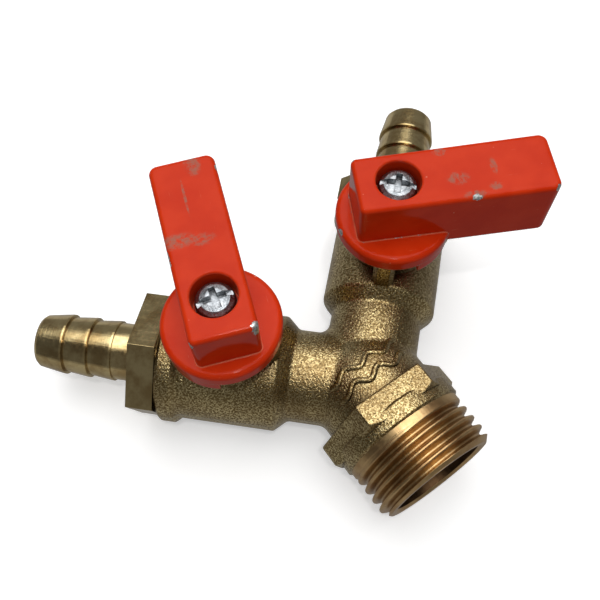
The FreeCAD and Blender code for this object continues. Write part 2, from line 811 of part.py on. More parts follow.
def build_lever(side, heading, lag):
    body = new_body(f"lever_{side}")

    def level(name, z):
        sketch = new_sketch(body, name, "XY_Plane", at_height(z))
        bind(sketch, "AttachmentOffset.Base.z", z)
        return sketch

    disc = level("DiscOutline", dim("disc_foot"))
    draw_circle(disc, 0, 0, dim("disc_r"))
    extrusion(body, "Pad", "Disc", disc, dim("disc_top") - dim("disc_foot"))
    rim = lambda e: e.BoundBox.ZMin > DIMENSIONS["disc_top"] - 0.01
    round_edges(body, "DiscRim", rim, dim("disc_round"))

    rib = level("RibOutline", dim("rib_foot"))
    draw_circle(rib, 0, 0, dim("rib_outer"))
    draw_circle(rib, 0, 0, dim("rib_inner"))
    extrusion(body, "Pad", "StopRib", rib, dim("disc_foot") - dim("rib_foot"))
    opening = level("RibOpeningOutline", dim("rib_foot"))
    draw_polygon(opening, rib_opening())
    cut_along(body, "RibOpening", opening, dim("disc_foot") - dim("rib_foot"), 1)

    bar = level("BarOutline", dim("disc_foot"))
    near_half = dim("bar_half") - dim("bar_near") * dim("bar_taper")
    far_half = dim("bar_half") + dim("bar_far") * dim("bar_taper")
    draw_polygon(
        bar,
        [
            (-dim("bar_near"), -near_half),
            (dim("bar_far"), -far_half),
            (dim("bar_far"), far_half),
            (-dim("bar_near"), near_half),
        ],
    )
    extrusion(body, "Pad", "Bar", bar, dim("bar_top") - dim("disc_foot"))

    def upright(station):
        def test(e):
            box = e.BoundBox
            tall = box.ZLength > 5 and box.XLength < 0.1 and box.YLength < 0.1
            return tall and abs(box.XMin - station) < 0.1

        return test

    round_edges(body, "NearCorners", upright(-DIMENSIONS["bar_near"]), dim("near_round"))
    round_edges(body, "FarCorners", upright(DIMENSIONS["bar_far"]), dim("far_round"))
    top = lambda e: e.BoundBox.ZMin > DIMENSIONS["bar_top"] - 0.01
    round_edges(body, "TopEdge", top, dim("bar_round"))

    hub = level("HubOutline", dim("shoulder_top"))
    draw_circle(hub, 0, 0, dim("hub_r"))
    extrusion(body, "Pad", "Hub", hub, dim("disc_foot") - dim("shoulder_top"))

    core = level("CoreOutline", dim("disc_foot"))
    wall = dim("bar_wall")
    draw_polygon(
        core,
        [
            (dim("core_from"), -(dim("bar_half") - wall)),
            (dim("bar_far") - wall, -(far_half - wall)),
            (dim("bar_far") - wall, far_half - wall),
            (dim("core_from"), dim("bar_half") - wall),
        ],
    )
    cut_along(body, "Core", core, dim("core_top") - dim("disc_foot"), 1)

    recess = level("RecessOutline", dim("bar_top"))
    draw_circle(recess, 0, 0, dim("recess_r"))
    cut_along(body, "Recess", recess, dim("bar_top") - dim("recess_floor"), -1)

    def recess_edge(e):
        round_one = e.Curve.TypeId == "Part::GeomCircle"
        return round_one and top(e) and abs(e.Curve.Radius - DIMENSIONS["recess_r"]) < 0.01

    round_edges(body, "RecessEdge", recess_edge, dim("recess_round"))

    square = level("SquareOutline", dim("shoulder_top"))
    half = dim("square_width") / 2 + dim("running_gap")
    draw_polygon(square, rectangle(-half, half, -half, half))
    cut_along(body, "Square", square, dim("recess_floor") - dim("shoulder_top"), 1)
    body.Placement = stem_frame(heading, lag)
    return body


def build_screw(side, heading, lag):
    body = new_body(f"lever_screw_{side}")
    section = new_sketch(body, "Section", "XZ_Plane")
    draw_polygon(
        section,
        [
            (0, dim("screw_foot")),
            (dim("screw_r") - dim("screw_chamfer"), dim("screw_foot")),
            (dim("screw_r"), dim("screw_foot") + dim("screw_chamfer")),
            (dim("screw_r"), dim("head_foot")),
            (dim("head_r"), dim("head_foot")),
            (dim("head_r"), dim("head_side")),
            (dim("head_r") - dim("head_shoulder_in"), dim("head_shoulder")),
            (dim("head_r") - dim("head_crown_in"), dim("head_crown")),
            (dim("head_flat_r"), dim("head_top")),
            (0, dim("head_top")),
        ],
    )
    rotation_about(body, "Revolution", "Turned", section, "V_Axis")
    base = at_height(dim("head_top"))
    for name, length, width, deep, turn in (
        ("Slot", dim("slot_long"), dim("screw_slot"), dim("screw_slot_deep"), 0),
        ("CrossA", dim("cross_long"), dim("cross_width"), dim("cross_deep"), 0),
        ("CrossB", dim("cross_long"), dim("cross_width"), dim("cross_deep"), 90),
    ):
        face = base.multiply(Placement(Vector(), Rotation(UP, turn)))
        sketch = new_sketch(body, f"{name}Outline", "XY_Plane", face)
        bind(sketch, "AttachmentOffset.Base.z", dim("head_top"))
        across = width / 2
        draw_polygon(sketch, rectangle(-(length / 2), length / 2, -across, across))
        cut_along(body, name, sketch, deep, -1)
    body.Placement = stem_frame(heading, lag - SCREW_TURN[side])
    return body


# ---- every piece

parts = [forged]
for side, heading, lag in VALVES:
    turned = stem_frame(heading, lag)
    parts += [
        build_hose_tail(side, heading),
        build_seat(side, heading, "inner_seat", -1),
        build_seat(side, heading, "outer_seat", 1),
        build_ball(side, heading, lag),
        build_stem(side, heading, lag),
        build_ring(
            f"thrust_washer_{side}",
            dim("flange_r") + dim("running_gap"),
            dim("stem_r") + dim("running_gap"),
            dim("flange_top"),
            dim("washer_top"),
            turned,
        ),
        build_stem_ring(side, heading, lag),
        build_lever(side, heading, lag),
        build_ring(
            f"lock_washer_{side}",
            dim("lock_washer_r"),
            dim("lock_washer_bore_r"),
            dim("recess_floor"),
            dim("head_foot"),
            turned,
            dim("lock_washer_split"),
        ),
        build_screw(side, heading, lag),
    ]

doc.recompute()

# ---- checks, then the files

for thing in doc.Objects:
    if "Invalid" in thing.State or "Error" in thing.State:
        raise RuntimeError(f"{thing.Label} did not recompute: {thing.State}")
for piece in parts:
    shape = piece.Shape
    if shape.isNull() or not shape.isValid() or len(shape.Solids) != 1:
        raise RuntimeError(f"{piece.Label} is not one valid solid")

os.makedirs("parts", exist_ok=True)
for piece in parts:
    piece.Shape.exportStep(f"parts/{piece.Label}.step")
    print(f"{piece.Label}: {piece.Shape.Volume:.1f} mm3")
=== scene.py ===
import json
import math

import bmesh
import bpy
from mathutils import Matrix, Vector
from mathutils.bvhtree import BVHTree


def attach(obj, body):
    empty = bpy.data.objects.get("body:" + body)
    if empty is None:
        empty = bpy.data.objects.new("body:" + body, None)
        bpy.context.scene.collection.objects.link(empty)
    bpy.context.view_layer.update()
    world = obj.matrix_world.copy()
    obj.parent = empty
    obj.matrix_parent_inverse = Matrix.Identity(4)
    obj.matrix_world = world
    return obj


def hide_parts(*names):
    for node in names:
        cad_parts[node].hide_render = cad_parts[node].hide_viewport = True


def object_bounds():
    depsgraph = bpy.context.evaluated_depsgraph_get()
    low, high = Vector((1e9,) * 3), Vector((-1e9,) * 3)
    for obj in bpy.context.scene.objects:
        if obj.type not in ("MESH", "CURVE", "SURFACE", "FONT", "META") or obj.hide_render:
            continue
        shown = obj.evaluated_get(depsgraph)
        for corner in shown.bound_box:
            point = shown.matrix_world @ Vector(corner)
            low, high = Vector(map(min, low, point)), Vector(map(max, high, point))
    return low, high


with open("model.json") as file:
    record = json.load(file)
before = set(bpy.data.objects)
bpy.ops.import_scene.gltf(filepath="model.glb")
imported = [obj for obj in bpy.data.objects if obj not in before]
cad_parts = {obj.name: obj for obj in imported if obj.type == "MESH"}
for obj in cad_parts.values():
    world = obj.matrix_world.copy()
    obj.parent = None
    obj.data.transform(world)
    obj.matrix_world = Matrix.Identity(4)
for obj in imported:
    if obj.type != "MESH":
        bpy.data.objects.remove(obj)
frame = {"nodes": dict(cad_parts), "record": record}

CAD_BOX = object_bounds()
MM = 0.001

# ---- what the record says about where things lie

RECORD = frame["record"]
MOUNTS = {m["name"]: m for m in RECORD["mounts"]}
JOINTS = {j["name"]: j for j in RECORD["behaviour"]["joints"]}
SIDES = ("left", "right")
BODY = "valve_body"
JUNCTION_Y = 19.1  # mm from the inlet's end face to where the pipes' axes meet


def branch(side):
    """The outlet's axis: a point on it and its direction."""
    mount = MOUNTS[f"hose_tail_{side}"]
    return Vector(mount["pos_m"]), Vector(mount["axis"]).normalized()


def pivot(side):
    """The stem's axis, and the lever's heading about it at rest, in radians."""
    joint = JOINTS[f"{side}_valve_turn"]
    _, along = branch(side)
    open_by = math.radians(max(joint["range_deg"]))
    return Vector(joint["pos_m"]), math.atan2(along.y, along.x) - open_by


# ---- camera, floor and light

SENSOR = 36.0  # mm
LENS = 46.45  # mm
CAMERA_PLACE = (-31.533, -11.404, 121.987)  # mm
CAMERA_TARGET = (0.225, 38.263, 0.0)  # mm
CAMERA_ROLL = -2.811  # degrees

FLOOR_HALF = 1.5  # metres from the floor's middle to its edges
FLOOR_GREY = 0.80
FLOOR_GLOW = 0.45  # the floor's own light, so that it reads as white

LAMP_OFFSET = (-0.06, -0.17, 0.68)  # metres from the object's middle
LAMP_SIZE = (0.045, 0.025)  # metres
LAMP_WATTS = 0.75
LAMP_TINT = (1.0, 0.98, 0.95)

# the room: a direction, then greys by the cosine of the angle from it
SOFTBOX = (0.14, 0.20, 0.97)
SOFTBOX_STOPS = ((0.80, 0.0), (0.91, 0.85), (0.97, 1.0))
SOFTBOX_LIGHT = 2.75
FAR_WALL = (0.54, 0.84, 0.25)
FAR_WALL_STOPS = ((0.0, 0.07), (0.9, 0.20))
FRONT_WALL = (-0.3, -0.85, 0.35)
FRONT_WALL_STOPS = ((0.2, 0.0), (0.9, 0.085))
TABLE = (0.0, 0.0, -1.0)
TABLE_STOPS = ((0.0, 0.0), (0.22, 0.26), (1.0, 0.22))


def aim(thing, place, target, roll=0.0):
    """Point a camera or lamp at a target; roll turns it about its own axis."""
    thing.location = place
    turn = (Vector(target) - Vector(place)).to_track_quat("-Z", "Y").to_matrix()
    turn = turn @ Matrix.Rotation(roll, 3, "Z")
    thing.rotation_euler = turn.to_euler()


def add_camera():
    data = bpy.data.cameras.new("camera")
    data.sensor_width = SENSOR
    data.lens = LENS
    data.clip_start = 0.01
    data.clip_end = 10.0
    camera = bpy.data.objects.new("camera", data)
    bpy.context.scene.collection.objects.link(camera)
    place = Vector(CAMERA_PLACE) * MM
    target = Vector(CAMERA_TARGET) * MM
    aim(camera, place, target, math.radians(CAMERA_ROLL))
    bpy.context.scene.camera = camera


def add_lamp(name, place, target, size, power, tint):
    data = bpy.data.lights.new(name, "AREA")
    data.shape = "RECTANGLE"
    data.size, data.size_y = size
    data.energy = power
    data.color = tint
    lamp = bpy.data.objects.new(name, data)
    bpy.context.scene.collection.objects.link(lamp)
    aim(lamp, place, target)


def add_floor():
    mesh = bpy.data.meshes.new("floor")
    low = CAD_BOX[0][2]
    signs = ((-1, -1), (1, -1), (1, 1), (-1, 1))
    corners = [(x * FLOOR_HALF, y * FLOOR_HALF, low) for x, y in signs]
    mesh.from_pydata(corners, [], [(0, 1, 2, 3)])
    floor = bpy.data.objects.new("floor", mesh)
    bpy.context.scene.collection.objects.link(floor)
    paint = bpy.data.materials.new("floor_paper")
    paint.use_nodes = True
    shader = paint.node_tree.nodes["Principled BSDF"]
    shader.inputs["Base Color"].default_value = (FLOOR_GREY, FLOOR_GREY, FLOOR_GREY, 1)
    shader.inputs["Emission Color"].default_value = (1.0, 1.0, 1.0, 1)
    shader.inputs["Emission Strength"].default_value = FLOOR_GLOW
    shader.inputs["Roughness"].default_value = 0.9
    shader.inputs["Specular IOR Level"].default_value = 0.1
    mesh.materials.append(paint)
    floor.visible_diffuse = False
    floor.visible_glossy = False


def add_world():
    """A plain grey room: a wide soft light overhead, dim walls, a pale table."""
    world = bpy.data.worlds.new("studio")
    bpy.context.scene.world = world
    world.use_nodes = True
    nodes, links = world.node_tree.nodes, world.node_tree.links
    back = nodes["Background"]
    where = nodes.new("ShaderNodeTexCoord")

    def ramp(direction, stops):
        """Greys by the cosine of the angle from a direction, from 0 to 1."""
        toward = nodes.new("ShaderNodeVectorMath")
        toward.operation = "DOT_PRODUCT"
        toward.inputs[1].default_value = Vector(direction).normalized()
        links.new(where.outputs["Generated"], toward.inputs[0])
        greys = nodes.new("ShaderNodeValToRGB")
        greys.color_ramp.interpolation = "EASE"
        links.new(toward.outputs["Value"], greys.inputs[0])
        greys.color_ramp.elements.remove(greys.color_ramp.elements[1])
        for i, (place, grey) in enumerate(stops):
            row = greys.color_ramp.elements
            stop = row[0] if i == 0 else row.new(place)
            stop.position = place
            stop.color = (grey, grey, grey, 1)
        return greys.outputs[0]

    def add(a, b):
        both = nodes.new("ShaderNodeVectorMath")
        both.operation = "ADD"
        links.new(a, both.inputs[0])
        links.new(b, both.inputs[1])
        return both.outputs[0]

    softbox = ramp(SOFTBOX, SOFTBOX_STOPS)
    far_wall = ramp(FAR_WALL, FAR_WALL_STOPS)
    front_wall = ramp(FRONT_WALL, FRONT_WALL_STOPS)
    table = ramp(TABLE, TABLE_STOPS)
    boosted = nodes.new("ShaderNodeVectorMath")
    boosted.operation = "SCALE"
    boosted.inputs["Scale"].default_value = SOFTBOX_LIGHT
    links.new(softbox, boosted.inputs[0])
    room = add(add(boosted.outputs[0], far_wall), add(front_wall, table))
    links.new(room, back.inputs["Color"])
    # the camera sees a plain white backdrop behind the floor's edge, not the room
    backdrop = nodes.new("ShaderNodeBackground")
    backdrop.inputs["Color"].default_value = (1, 1, 1, 1)
    rays = nodes.new("ShaderNodeLightPath")
    either = nodes.new("ShaderNodeMixShader")
    links.new(rays.outputs["Is Camera Ray"], either.inputs[0])
    links.new(back.outputs[0], either.inputs[1])
    links.new(backdrop.outputs[0], either.inputs[2])
    links.new(either.outputs[0], nodes["World Output"].inputs["Surface"])


def add_lights():
    middle = (Vector(CAD_BOX[0]) + Vector(CAD_BOX[1])) / 2
    ceiling = middle + Vector(LAMP_OFFSET)
    add_lamp("ceiling", ceiling, middle, LAMP_SIZE, LAMP_WATTS, LAMP_TINT)


# ---- material graphs


class Graph:
    """One material: its Principled shader, and short ways to add nodes to it."""

    def __init__(self, name):
        self.material = bpy.data.materials.new(name)
        self.material.use_nodes = True
        self.tree = self.material.node_tree
        self.shader = self.tree.nodes["Principled BSDF"]
        coordinates = self.tree.nodes.new("ShaderNodeTexCoord")
        scaled = self.tree.nodes.new("ShaderNodeVectorMath")
        scaled.operation = "SCALE"
        scaled.inputs["Scale"].default_value = 1 / MM
        self.tree.links.new(coordinates.outputs["Object"], scaled.inputs[0])
        self.at = scaled.outputs[0]  # the place on the object, in mm

    def feed(self, socket, value):
        if isinstance(value, bpy.types.NodeSocket):
            self.tree.links.new(value, socket)
        elif socket.type == "RGBA" and len(value) == 3:
            socket.default_value = (*value, 1.0)
        else:
            socket.default_value = value

    def set(self, **values):
        """Set the shader's sockets; an underscore in a name stands for a space."""
        for name, value in values.items():
            self.feed(self.shader.inputs[name.replace("_", " ")], value)

    def math(self, operation, a, b=0.0):
        node = self.tree.nodes.new("ShaderNodeMath")
        node.operation = operation
        self.feed(node.inputs[0], a)
        self.feed(node.inputs[1], b)
        return node.outputs[0]

    def vector(self, operation, a, b=(0.0, 0.0, 0.0)):
        node = self.tree.nodes.new("ShaderNodeVectorMath")
        node.operation = operation
        self.feed(node.inputs[0], a)
        self.feed(node.inputs[1], b)
        scalar = operation in ("DOT_PRODUCT", "LENGTH", "DISTANCE")
        return node.outputs["Value" if scalar else "Vector"]

    def split(self, vector):
        node = self.tree.nodes.new("ShaderNodeSeparateXYZ")
        self.feed(node.inputs[0], vector)
        return node.outputs[0], node.outputs[1], node.outputs[2]

    def join(self, x, y, z):
        node = self.tree.nodes.new("ShaderNodeCombineXYZ")
        for socket, value in zip(node.inputs, (x, y, z)):
            self.feed(socket, value)
        return node.outputs[0]

    def noise(self, size, detail=2.0, roughness=0.5, where=None):
        """Noise whose features are about size mm across."""
        node = self.tree.nodes.new("ShaderNodeTexNoise")
        self.feed(node.inputs["Vector"], self.at if where is None else where)
        node.inputs["Scale"].default_value = 1.0 / size
        node.inputs["Detail"].default_value = detail
        node.inputs["Roughness"].default_value = roughness
        return node.outputs[0]

    def cells(self, size):
        """Distance to the nearest of scattered points about size mm apart."""
        node = self.tree.nodes.new("ShaderNodeTexVoronoi")
        self.feed(node.inputs["Vector"], self.at)
        node.inputs["Scale"].default_value = 1.0 / size
        return node.outputs["Distance"]

    def ramp(self, value, low, high, to_low=0.0, to_high=1.0):
        """Value from low..high to to_low..to_high, smoothly and clamped."""
        node = self.tree.nodes.new("ShaderNodeMapRange")
        node.interpolation_type = "SMOOTHSTEP"
        self.feed(node.inputs["Value"], value)
        node.inputs["From Min"].default_value = low
        node.inputs["From Max"].default_value = high
        node.inputs["To Min"].default_value = to_low
        node.inputs["To Max"].default_value = to_high
        return node.outputs[0]

    def mix(self, factor, a, b):
        """A colour between a and b."""
        node = self.tree.nodes.new("ShaderNodeMix")
        node.data_type = "RGBA"
        self.feed(node.inputs["Factor"], factor)
        self.feed(node.inputs["A"], a)
        self.feed(node.inputs["B"], b)
        return node.outputs["Result"]

    def creases(self, reach):
        """1 in the open, towards 0 in corners within reach mm."""
        node = self.tree.nodes.new("ShaderNodeAmbientOcclusion")
        node.samples = 8
        node.inputs["Distance"].default_value = reach * MM
        return node.outputs["AO"]

    def rounded(self, radius):
        """Normals that round every edge by radius mm."""
        node = self.tree.nodes.new("ShaderNodeBevel")
        node.samples = 6
        node.inputs["Radius"].default_value = radius * MM
        return node.outputs[0]

    def bump(self, height, rise, normal=None):
        """Raise the surface by rise mm where height is 1."""
        node = self.tree.nodes.new("ShaderNodeBump")
        node.inputs["Strength"].default_value = 1.0
        node.inputs["Distance"].default_value = rise * MM
        self.feed(node.inputs["Height"], height)
        if normal is not None:
            self.feed(node.inputs["Normal"], normal)
        return node.outputs[0]

    def along(self, point, direction):
        """Distance along an axis, and the offset across it, in mm."""
        offset = self.vector("SUBTRACT", self.at, tuple(Vector(point) / MM))
        s = self.vector("DOT_PRODUCT", offset, tuple(direction))
        node = self.tree.nodes.new("ShaderNodeVectorMath")
        node.operation = "SCALE"
        node.inputs[0].default_value = tuple(direction)
        self.feed(node.inputs["Scale"], s)
        across = self.vector("SUBTRACT", offset, node.outputs[0])
        return s, across


# the forging: pits and glints of its grain, broad clouds, painted shade, a parting line
# with a painted sheen
PIT = (0.245, 0.165, 0.062)
GLINT = (0.70, 0.56, 0.285)
CLOUD = (0.215, 0.135, 0.055)
CORNER_SHADE = (0.090, 0.055, 0.024)
HOLLOW_SHADE = (0.075, 0.048, 0.023)
PARTING_LINE_SHEEN = (0.56, 0.47, 0.30)


def forged_brass():
    """Shot-blasted forging: coarse glinting grain, with painted shade in its corners and a
    painted shadow under the levers.
    """
    g = Graph("forged_brass")
    grain = g.noise(0.30, 3.0, 0.62)
    fine = g.noise(0.14, 2.0, 0.5)
    dents = g.cells(0.42)
    broad = g.noise(9.0, 3.0, 0.5)
    _, _, z = g.split(g.at)
    # a band along the parting line at mid-height: its bump is quieter, and its colour is
    # painted lighter as a painted reflection of the table below
    seam_and_sheen = g.ramp(g.math("ABSOLUTE", z), 0.3, 0.5, 1.0, 0.0)
    seam_and_sheen = g.math("MULTIPLY", seam_and_sheen, g.ramp(g.noise(5.0), 0.35, 0.5))
    glint = g.ramp(grain, 0.44, 0.58)
    base = g.mix(glint, PIT, GLINT)
    base = g.mix(g.ramp(broad, 0.42, 0.66, 0.0, 0.55), base, CLOUD)
    # painted shade: darker within 3 mm of other surfaces, in the corners
    corners = g.ramp(g.creases(3.0), 0.30, 0.90, 0.65, 0.0)
    base = g.mix(corners, base, CORNER_SHADE)
    # painted shadow: darker within 11 mm of other surfaces, most of all under the levers'
    # discs
    hollow_shade = g.ramp(g.creases(11.0), 0.25, 0.88, 0.90, 0.0)
    base = g.mix(hollow_shade, base, HOLLOW_SHADE)
    # painted reflection: the parting line's band lighter
    base = g.mix(g.math("MULTIPLY", seam_and_sheen, 0.6), base, PARTING_LINE_SHEEN)
    height = g.math("ADD", g.math("MULTIPLY", grain, 0.7), g.math("MULTIPLY", fine, 0.3))
    height = g.math("ADD", height, g.math("MULTIPLY", g.ramp(dents, 0.0, 0.5), 0.35))
    quiet = g.math("SUBTRACT", 1.0, g.math("MULTIPLY", seam_and_sheen, 0.8))
    height = g.math("MULTIPLY", height, quiet)
    g.set(
        Base_Color=base,
        Metallic=1.0,
        Roughness=g.ramp(grain, 0.3, 0.7, 0.36, 0.20),
        Normal=g.bump(height, 0.12, g.rounded(0.25)),
    )
    return g.material


def turned_brass(name, point, direction, light, dark, bright_roughness=0.2):
    """Turned brass: fine rings about an axis, faint flutes along it, some tarnish, painted
    shade in its creases.
    """
    g = Graph(name)
    s, across = g.along(point, direction)
    rings = g.noise(0.11, 2.0, 0.6, g.join(s, 0.0, 0.0))
    flutes = g.noise(0.7, 2.0, 0.5, across)
    tarnish = g.noise(3.2, 4.0, 0.6)
    spots = g.noise(0.5, 3.0, 0.6)
    base = g.mix(g.ramp(tarnish, 0.35, 0.7), light, dark)
    base = g.mix(g.ramp(spots, 0.58, 0.78, 0.0, 0.3), base, dark)
    # painted shade: darker in the thread's roots and the barbs' corners, by the ambient
    # occlusion
    crease_shade = g.ramp(g.creases(1.2), 0.2, 0.85, 0.75, 0.0)
    base = g.mix(crease_shade, base, tuple(0.35 * c for c in dark))
    ringed = g.math("MULTIPLY", rings, 0.35)
    height = g.math("ADD", ringed, g.math("MULTIPLY", flutes, 0.65))
    g.set(
        Base_Color=base,
        Metallic=1.0,
        Roughness=g.ramp(spots, 0.3, 0.8, bright_roughness, bright_roughness + 0.14),
        Normal=g.bump(height, 0.05, g.rounded(0.09)),
    )
    return g.material


# where each lever's paint is knocked off, in mm from its pivot: along the bar, across
# it to its left, and up; then how far the chip reaches each way
CHIPS = {
    "left": (
        ((-5.9, -4.5, 26.5), (1.0, 1.0, 1.7)),
        ((-5.9, 4.7, 26.3), (0.6, 0.7, 0.9)),
        ((7.4, 5.1, 26.9), (1.8, 0.55, 1.1)),
        ((20.6, -5.1, 27.2), (1.0, 0.45, 0.6)),
        ((8.1, -5.0, 18.9), (0.9, 0.9, 0.7)),
    ),
    "right": (
        ((22.9, -4.7, 27.0), (0.7, 0.7, 0.7)),
        ((10.6, -4.6, 27.3), (0.9, 0.6, 0.5)),
        ((-6.0, 4.6, 26.9), (0.6, 0.6, 0.6)),
        ((-8.7, -2.2, 18.4), (0.6, 0.8, 0.6)),
    ),
}
# where its top is only rubbed, told the same way
SCUFFS = {
    "left": (
        ((22.0, -1.6, 27.5), (1.5, 0.9, 0.6)),
        ((9.6, 3.2, 27.5), (0.9, 2.0, 0.6)),
        ((9.0, -0.4, 27.5), (0.7, 1.3, 0.6)),
        ((16.5, 0.6, 27.5), (2.2, 0.16, 0.6)),
    ),
    "right": (
        ((8.6, -1.1, 27.5), (1.2, 0.8, 0.6)),
        ((6.9, 3.9, 27.5), (0.8, 0.5, 0.6)),
        ((13.7, -3.2, 27.5), (0.7, 0.5, 0.6)),
        ((10.6, -4.2, 27.4), (1.3, 0.5, 0.6)),
        ((14.2, 0.3, 27.5), (0.4, 1.0, 0.6)),
    ),
}


RED_DEEP = (0.63, 0.030, 0.003)
RED_BRIGHT = (0.69, 0.040, 0.006)
SCRATCH = (0.74, 0.19, 0.10)
RUBBED = (0.34, 0.17, 0.12)
EDGE_HIGHLIGHT = (0.95, 0.30, 0.17)
FLECK = (0.86, 0.42, 0.28)
ZINC_DARK = (0.22, 0.26, 0.25)
ZINC_BRIGHT = (0.72, 0.74, 0.72)
# lower than enamel's 0.5, because the soft light stands where the levers' tops mirror it
PAINT_SPECULAR = 0.09
CHIP_EDGE = 1.35  # how far out a chip or scuff ends, in its own reaches


def lever_paint(side):
    """Enamel over zinc, chipped at the corners and scuffed on top, with painted highlights
    along its rounded edges.
    """
    g = Graph(f"lever_paint_{side}")
    centre, heading = pivot(side)
    turn = g.tree.nodes.new("ShaderNodeVectorRotate")
    turn.rotation_type = "Z_AXIS"
    turn.inputs["Angle"].default_value = -heading
    g.feed(turn.inputs["Vector"], g.vector("SUBTRACT", g.at, tuple(centre / MM)))
    local = turn.outputs[0]
    ragged = g.noise(0.55, 3.0, 0.65)

    def spots(table, softness):
        best = None
        for place, reach in table:
            offset = g.vector("DIVIDE", g.vector("SUBTRACT", local, place), reach)
            fray = g.math("MULTIPLY", ragged, 1.1)
            far = g.math("ADD", g.vector("LENGTH", offset), fray)
            inside = g.ramp(far, CHIP_EDGE, CHIP_EDGE + softness, 1.0, 0.0)
            best = inside if best is None else g.math("MAXIMUM", best, inside)
        return best

    chip = spots(CHIPS[side], 0.06)
    rub_at = g.vector("MULTIPLY", local, (1.0, 0.7, 1.0))
    rubbed = g.ramp(g.noise(0.7, 4.0, 0.7, rub_at), 0.36, 0.62)
    scuff = g.math("MULTIPLY", spots(SCUFFS[side], 0.9), rubbed)
    geometry = g.tree.nodes.new("ShaderNodeNewGeometry")
    edge_normal = g.rounded(0.45)
    sharp = g.vector("DOT_PRODUCT", edge_normal, geometry.outputs["Normal"])
    edge = g.ramp(sharp, 0.86, 0.985, 1.0, 0.0)
    worn = g.math("MULTIPLY", edge, g.ramp(g.noise(1.3, 3.0, 0.6), 0.60, 0.66))
    bare = g.math("MAXIMUM", chip, worn)
    scratch_at = g.vector("MULTIPLY", local, (0.16, 1.6, 1.0))
    scratches = g.ramp(g.noise(0.5, 4.0, 0.7, scratch_at), 0.66, 0.72)
    cloud = g.noise(4.5, 3.0, 0.5)
    red = g.mix(g.ramp(cloud, 0.3, 0.7), RED_DEEP, RED_BRIGHT)
    red = g.mix(g.math("MULTIPLY", scratches, 0.35), red, SCRATCH)
    red = g.mix(g.math("MULTIPLY", scuff, 0.75), red, RUBBED)
    # painted highlight: every rounded edge lighter
    red = g.mix(g.math("MULTIPLY", edge, 0.75), red, EDGE_HIGHLIGHT)
    flecks = g.ramp(g.noise(0.75, 2.0, 0.5), 0.765, 0.79)
    red = g.mix(g.math("MULTIPLY", flecks, 0.7), red, FLECK)
    zinc = g.mix(g.ramp(g.noise(0.35, 3.0), 0.35, 0.65), ZINC_DARK, ZINC_BRIGHT)
    ripple = g.noise(2.6, 2.0, 0.5)
    height = g.math("MULTIPLY", ripple, 0.35)
    height = g.math("SUBTRACT", height, g.math("MULTIPLY", bare, 0.9))
    painted = g.ramp(scuff, 0.0, 1.0, 0.10, 0.5)
    g.set(
        Base_Color=g.mix(bare, red, zinc),
        Metallic=g.math("MULTIPLY", bare, 0.75),
        Roughness=g.math("ADD", painted, g.math("MULTIPLY", bare, 0.25)),
        Specular_IOR_Level=PAINT_SPECULAR,
        Normal=g.bump(height, 0.08, edge_normal),
    )
    return g.material


def zinc_plate():
    """Bright zinc on steel, with a driver's scuffs and painted shade in its recess."""
    g = Graph("zinc_plate")
    cloud = g.noise(0.9, 3.0, 0.6)
    nicks = g.noise(0.22, 3.0, 0.7)
    base = g.mix(g.ramp(cloud, 0.35, 0.7), (0.47, 0.49, 0.51), (0.24, 0.26, 0.28))
    # painted shade: near black in the recess and creases, by the ambient occlusion
    base = g.mix(g.ramp(g.creases(0.9), 0.25, 0.9, 0.8, 0.0), base, (0.06, 0.06, 0.065))
    g.set(
        Base_Color=base,
        Metallic=1.0,
        Roughness=g.ramp(nicks, 0.3, 0.7, 0.22, 0.42),
        Normal=g.bump(nicks, 0.05, g.rounded(0.12)),
    )
    return g.material


def plain(name, colour, metallic, roughness, size, rise):
    """A simple finish for the hidden pieces, mottled at the given size in mm."""
    g = Graph(name)
    mottle = g.noise(size, 3.0, 0.55)
    darker = tuple(0.72 * c for c in colour)
    g.set(
        Base_Color=g.mix(g.ramp(mottle, 0.3, 0.7), darker, colour),
        Metallic=metallic,
        Roughness=g.ramp(mottle, 0.3, 0.7, roughness, roughness + 0.12),
        Normal=g.bump(mottle, rise),
    )
    return g.material


# ---- pieces


def add_piece(name, mesh, body=BODY):
    piece = bpy.data.objects.new(name, mesh)
    bpy.context.scene.collection.objects.link(piece)
    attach(piece, body)
    return piece


WELD = 0.002  # mm between points that are made one
SLIVER = 0.001  # mm, the shortest edge kept


def finish_mesh(name, bm, materials, sharp_degrees=32.0):
    """A mesh from a bmesh: smooth, with edges sharper than the angle kept crisp."""
    bmesh.ops.remove_doubles(bm, verts=bm.verts, dist=WELD * MM)
    bmesh.ops.dissolve_degenerate(bm, edges=bm.edges, dist=SLIVER * MM)
    limit = math.radians(sharp_degrees)
    for edge in bm.edges:
        edge.smooth = len(edge.link_faces) == 2 and edge.calc_face_angle(0.0) < limit
    for face in bm.faces:
        face.smooth = True
    mesh = bpy.data.meshes.new(name)
    bm.to_mesh(mesh)
    bm.free()
    for material in materials:
        mesh.materials.append(material)
    return mesh


CHAMBER_FROM = 8.0  # mm along an arm from the junction to where its bore is hidden
CHAMBER_R = 8.6  # mm from an arm's axis, less than the chambers' outside
THREAD_CUT = 8.0  # mm from the inlet's end face, where the plain shank begins
SHANK_TO = 8.79  # mm from the end face, just short of the forged boss
BORE_TO = 17.0  # mm from the end face, past the bore's end
BORE_MARGIN = 0.3  # mm outside the bore that still counts as its wall
BORE_R = MOUNTS["inlet_bore"]["dims"]["r_mm"]
SHANK_R = MOUNTS["inlet_thread"]["dims"]["r_mm"]


